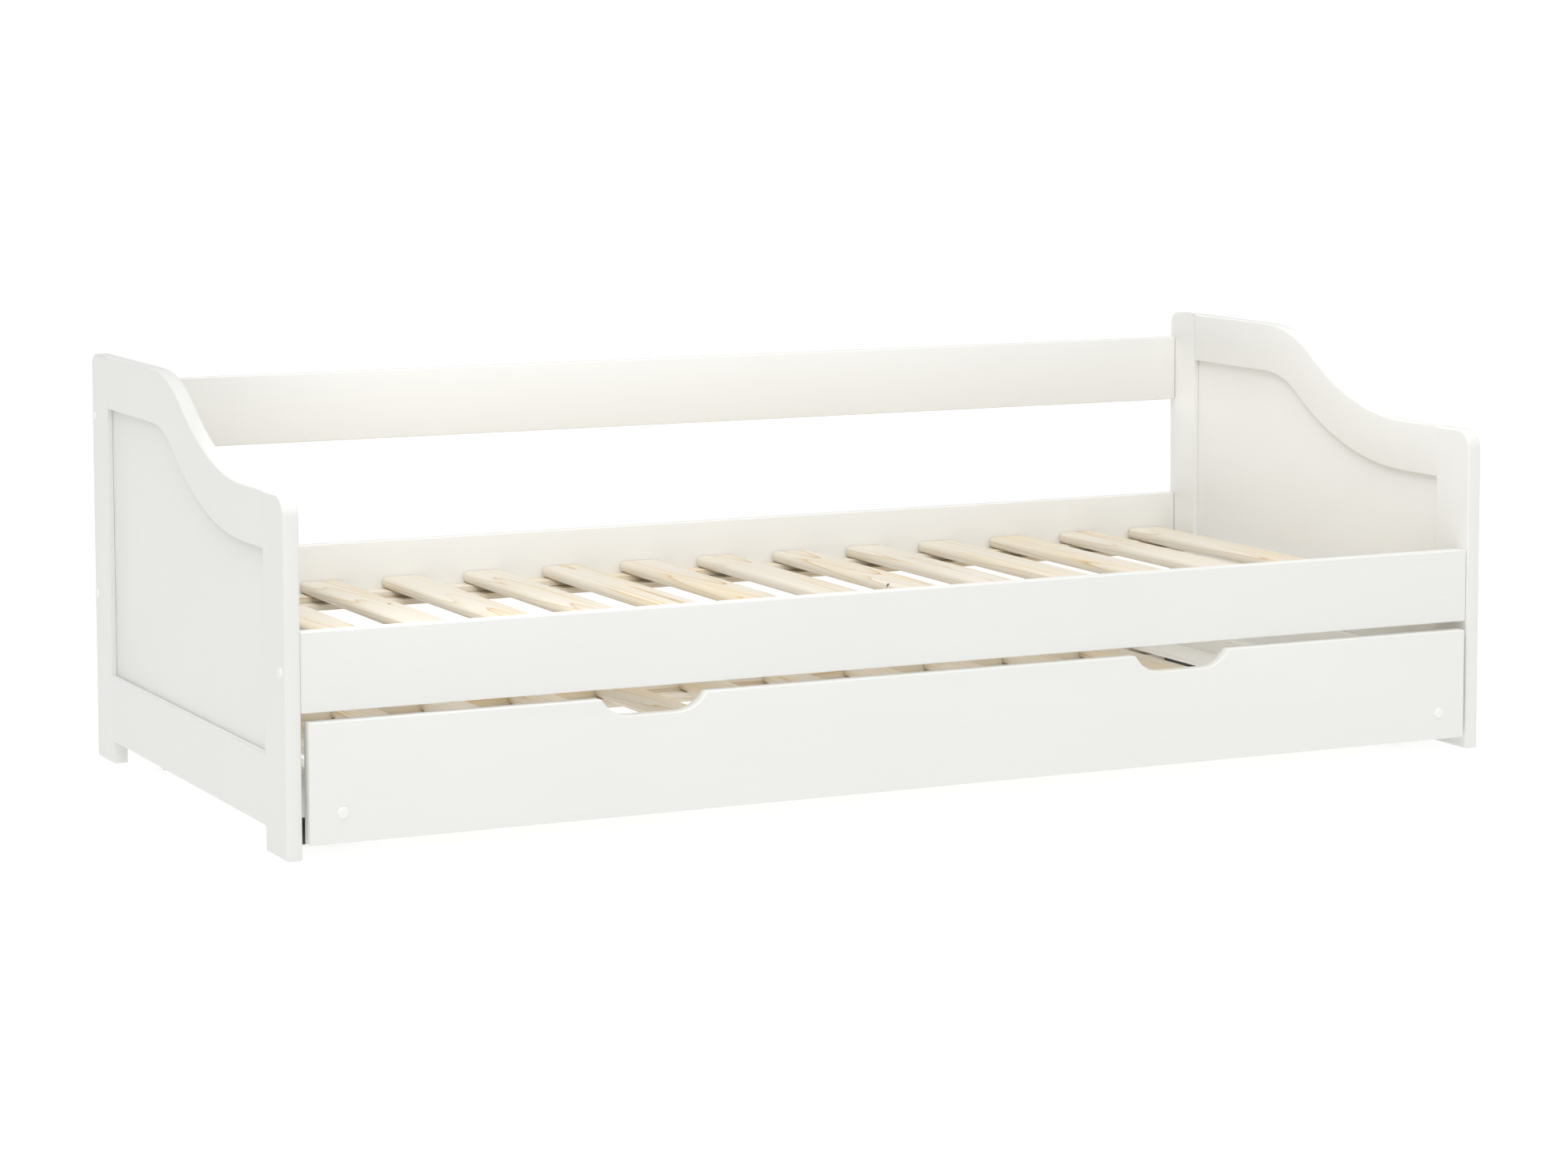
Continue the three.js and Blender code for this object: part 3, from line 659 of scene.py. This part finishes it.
def black_plastic():
    """Black nylon from a spark-eroded mould: a fine, slightly shiny grit."""
    material, tree = empty_material("black_moulded_nylon")
    place = add(tree, "ShaderNodeTexCoord").outputs["Object"]
    # The grit is 0.05 mm across, drawn at 0.7 mm so that it shows. Dust lies in patches
    # of 10 to 20 mm.
    grit = add(tree, "ShaderNodeTexNoise", {"Vector": place, "Scale": 1400.0, "Detail": 2.0})
    dust = add(tree, "ShaderNodeTexNoise", {"Vector": place, "Scale": 60.0, "Detail": 3.0})
    colour = add(tree, "ShaderNodeMix", {
        0: dust.outputs["Fac"], 6: linear("#161617"), 7: linear("#242425"),
    }, data_type="RGBA").outputs[2]
    gloss = add(tree, "ShaderNodeMapRange", {
        "Value": dust.outputs["Fac"], "To Min": 0.38, "To Max": 0.58,
    }).outputs[0]
    bump = add(tree, "ShaderNodeBump", {
        "Height": grit.outputs["Fac"], "Strength": 0.3, "Distance": 0.0002,
    }).outputs[0]
    nylon = add(tree, "ShaderNodeBsdfPrincipled", {
        "Base Color": colour, "Roughness": gloss, "Normal": bump, "IOR": 1.53,
    })
    add(tree, "ShaderNodeOutputMaterial", {"Surface": nylon.outputs[0]})
    return material


NYLON = black_plastic()

# Half-section of a wheel as (share of its radius, share of its half width): a hub boss, a
# recessed web, and a tread with rounded shoulders.
WHEEL_SECTION = (
    (0.235, 1.0), (0.40, 1.0), (0.43, 0.9), (0.45, 0.35), (0.74, 0.35), (0.76, 0.92),
    (0.79, 1.0), (0.86, 1.0), (0.92, 0.92), (0.965, 0.76), (0.99, 0.5), (1.0, 0.2),
)
WHEEL_STEPS = 56
WHEEL_RIBS = 6
RIB_THICKNESS = 0.0014
# Where a rib starts and ends, and its width, as shares of the wheel's radius and half width.
RIB_INNER, RIB_OUTER, RIB_WIDTH = 0.42, 0.78, 1.7


def wheel_base(name, middle, radius, half_width):
    """The wheel's section, turned about the X axis through its middle."""
    side = [(radius * r, half_width * x) for r, x in WHEEL_SECTION]
    section = side + [(r, -x) for r, x in reversed(side)]
    form = bmesh.new()
    verts = [form.verts.new((x, 0.0, r)) for r, x in section]
    edges = [form.edges.new(pair) for pair in zip(verts, verts[1:] + verts[:1])]
    bmesh.ops.spin(form, geom=verts + edges, cent=(0, 0, 0), axis=(1, 0, 0),
                   angle=math.tau, steps=WHEEL_STEPS, use_merge=True)
    bmesh.ops.remove_doubles(form, verts=form.verts, dist=1e-6)
    bmesh.ops.recalc_face_normals(form, faces=form.faces)
    bmesh.ops.translate(form, verts=form.verts, vec=middle)
    mesh = bpy.data.meshes.new(name)
    form.to_mesh(mesh)
    form.free()
    return mesh


def wheel_rib_tree():
    """Joins a ring of thin ribs, standing between the hub and the tread, to a wheel."""
    tree = bpy.data.node_groups.new("wheel_ribs", "GeometryNodeTree")
    tree.interface.new_socket("Geometry", in_out="INPUT", socket_type="NodeSocketGeometry")
    for name, kind in {
        "Count": "NodeSocketInt", "Middle": "NodeSocketVector", "Inner": "NodeSocketFloat",
        "Outer": "NodeSocketFloat", "Width": "NodeSocketFloat", "Thickness": "NodeSocketFloat",
        "Material": "NodeSocketMaterial",
    }.items():
        tree.interface.new_socket(name, in_out="INPUT", socket_type=kind)
    tree.interface.new_socket("Geometry", in_out="OUTPUT", socket_type="NodeSocketGeometry")
    given = add(tree, "NodeGroupInput").outputs
    span = add(tree, "ShaderNodeMath", {0: given["Outer"], 1: given["Inner"]},
               operation="SUBTRACT").outputs[0]
    reach = add(tree, "ShaderNodeMath", {0: given["Outer"], 1: given["Inner"]},
                operation="ADD").outputs[0]
    reach = add(tree, "ShaderNodeMath", {0: reach, 1: 0.5}, operation="MULTIPLY").outputs[0]
    rib = add(tree, "GeometryNodeMeshCube", {
        "Size": add(tree, "ShaderNodeCombineXYZ", {
            "X": given["Width"], "Y": given["Thickness"], "Z": span,
        }).outputs[0],
    }).outputs[0]
    rib = add(tree, "GeometryNodeTransform", {
        "Geometry": rib,
        "Translation": add(tree, "ShaderNodeCombineXYZ", {"Z": reach}).outputs[0],
    }).outputs[0]
    points = add(tree, "GeometryNodePoints", {"Count": given["Count"]}).outputs[0]
    turn = add(tree, "ShaderNodeMath", {0: math.tau, 1: given["Count"]},
               operation="DIVIDE").outputs[0]
    turn = add(tree, "ShaderNodeMath", {
        0: add(tree, "GeometryNodeInputIndex").outputs[0], 1: turn,
    }, operation="MULTIPLY").outputs[0]
    ribs = add(tree, "GeometryNodeInstanceOnPoints", {
        "Points": points, "Instance": rib,
        "Rotation": add(tree, "ShaderNodeCombineXYZ", {"X": turn}).outputs[0],
    }).outputs[0]
    ribs = add(tree, "GeometryNodeTransform", {
        "Geometry": ribs, "Translation": given["Middle"],
    }).outputs[0]
    both = add(tree, "GeometryNodeJoinGeometry", {"Geometry": ribs})
    tree.links.new(given["Geometry"], both.inputs[0])
    both = add(tree, "GeometryNodeRealizeInstances", {"Geometry": both.outputs[0]}).outputs[0]
    both = add(tree, "GeometryNodeSetMaterial", {
        "Geometry": both, "Material": given["Material"],
    }).outputs[0]
    add(tree, "NodeGroupOutput", {"Geometry": both})
    return tree


WHEEL_RIB_TREE = wheel_rib_tree()
for corner in ("front_left", "front_right", "rear_left", "rear_right"):
    eased_board(
        f"carrier_{corner}", "trundle", "X", 0.5, NYLON, CARRIER_EASE,
    )
    node = f"wheel_{corner}"
    low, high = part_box(node)
    middle, size = (low + high) / 2, high - low
    radius, half_width = size.z / 2, size.x / 2
    wheel = grown(WHEEL_RIB_TREE, f"{node}_turned", {
        "Count": WHEEL_RIBS,
        "Middle": list(middle),
        "Inner": radius * RIB_INNER,
        "Outer": radius * RIB_OUTER,
        "Width": half_width * RIB_WIDTH,
        "Thickness": RIB_THICKNESS,
        "Material": NYLON,
    }, wheel_base(f"{node}_turned", middle, radius, half_width))
    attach(wheel, node)
    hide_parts(node)

# ---------------------------------------------------------------------------- studio
# A product photographer's white room: a floor that is lit from below, pale walls and
# ceiling, one very broad soft light from the upper left of the front, and two soft lamps
# on booms that light the backrest and the inside of the right end.

FLOOR_GLOW = 0.88
FLOOR_REACH = 300.0


def studio_floor():
    """Opal acrylic lit from below, as on a light table: a white floor that takes hardly
    any shadow and lights the underside of what stands on it."""
    material, tree = empty_material("opal_light_table")
    mottle = add(tree, "ShaderNodeTexNoise", {
        "Vector": add(tree, "ShaderNodeTexCoord").outputs["Object"], "Scale": 2.0,
    })
    colour = add(tree, "ShaderNodeMix", {
        0: mottle.outputs["Fac"], 6: linear("#7E7E7D"), 7: linear("#828281"),
    }, data_type="RGBA").outputs[2]
    glow = add(tree, "ShaderNodeMix", {
        0: mottle.outputs["Fac"], 6: linear("#FDFDFC"), 7: linear("#FFFFFF"),
    }, data_type="RGBA").outputs[2]
    acrylic = add(tree, "ShaderNodeBsdfPrincipled", {
        "Base Color": colour, "Roughness": 0.9, "Specular IOR Level": 0.1,
        "Emission Color": glow, "Emission Strength": FLOOR_GLOW,
    })
    add(tree, "ShaderNodeOutputMaterial", {"Surface": acrylic.outputs[0]})
    mesh = bpy.data.meshes.new("studio_floor")
    corners = ((-1, -1), (1, -1), (1, 1), (-1, 1))
    mesh.from_pydata(
        [(x * FLOOR_REACH, y * FLOOR_REACH, 0.0) for x, y in corners], [], [(0, 1, 2, 3)],
    )
    mesh.materials.append(material)
    floor = bpy.data.objects.new("studio_floor", mesh)
    bpy.context.scene.collection.objects.link(floor)
    floor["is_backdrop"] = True


studio_floor()


def white_room():
    """A pale sky, brightest overhead and dimmer to the left, that turns white towards
    the horizon, as lit studio walls do."""
    sky = bpy.data.worlds.new("white_room")
    sky.use_nodes = True
    tree = sky.node_tree
    tree.nodes.clear()
    way = add(tree, "ShaderNodeTexCoord").outputs["Generated"]
    way = add(tree, "ShaderNodeSeparateXYZ", {0: way})
    walls = add(tree, "ShaderNodeMapRange", {
        "Value": way.outputs["Z"], "From Min": 0.01, "From Max": 0.12,
        "To Min": 0.55, "To Max": 0.0,
    }, interpolation_type="SMOOTHSTEP").outputs[0]
    sides = add(tree, "ShaderNodeMapRange", {
        "Value": way.outputs["X"], "From Min": -1.0, "From Max": 0.2,
        "To Min": 0.12, "To Max": 0.49,
    }).outputs[0]
    overhead = add(tree, "ShaderNodeMapRange", {
        "Value": way.outputs["Z"], "From Min": 0.4, "From Max": 1.0,
        "To Min": 0.0, "To Max": 0.45,
    }).outputs[0]
    strength = add(tree, "ShaderNodeMath", {0: walls, 1: sides}, operation="ADD").outputs[0]
    strength = add(tree, "ShaderNodeMath", {0: strength, 1: overhead}, operation="ADD").outputs[0]
    light = add(tree, "ShaderNodeBackground", {"Color": linear("#FFFFFF"), "Strength": strength})
    add(tree, "ShaderNodeOutputWorld", {"Surface": light.outputs[0]})
    return sky


def softbox(name, place, way, size, energy):
    """A rectangular lamp at a place, shining along way."""
    light = bpy.data.objects.new(name, bpy.data.lights.new(name, "AREA"))
    light.data.energy = energy
    light.data.shape = "RECTANGLE"
    light.data.size, light.data.size_y = size
    light.location = place
    light.rotation_mode = "QUATERNION"
    light.rotation_quaternion = Vector(way).to_track_quat("-Z", "Y")
    light.visible_camera = False
    bpy.context.scene.collection.objects.link(light)


bpy.context.scene.world = white_room()
key = bpy.data.objects.new("soft_key", bpy.data.lights.new("soft_key", "SUN"))
key.data.energy = 1.6
key.data.angle = math.radians(60)
key.rotation_mode = "QUATERNION"
key.rotation_quaternion = Vector((0.36, 0.36, -0.86)).to_track_quat("-Z", "Y")
bpy.context.scene.collection.objects.link(key)
softbox("boom_along_front", (0.6, -0.42, 0.95), (0.15, 1.0, -0.3), (1.1, 0.3), 1.7)
softbox("boom_over_left_end", (-0.95, -0.3, 0.95), (1.0, -0.15, -0.3), (0.5, 0.3), 5.4)

camera = bpy.data.objects.new("camera", bpy.data.cameras.new("camera"))
camera.data.sensor_width = 36.0
camera.data.lens = 94.66
camera.data.shift_x = -0.04
camera.data.shift_y = -0.12
camera.data.clip_end = 2000.0
camera.location = (-2.9054, -6.0318, 1.2232)
camera.rotation_euler = (math.radians(90 - 5.478), 0.0, math.radians(-26.488))
bpy.context.scene.collection.objects.link(camera)
bpy.context.scene.camera = camera

bpy.context.scene.view_settings.view_transform = "Standard"

low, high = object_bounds()
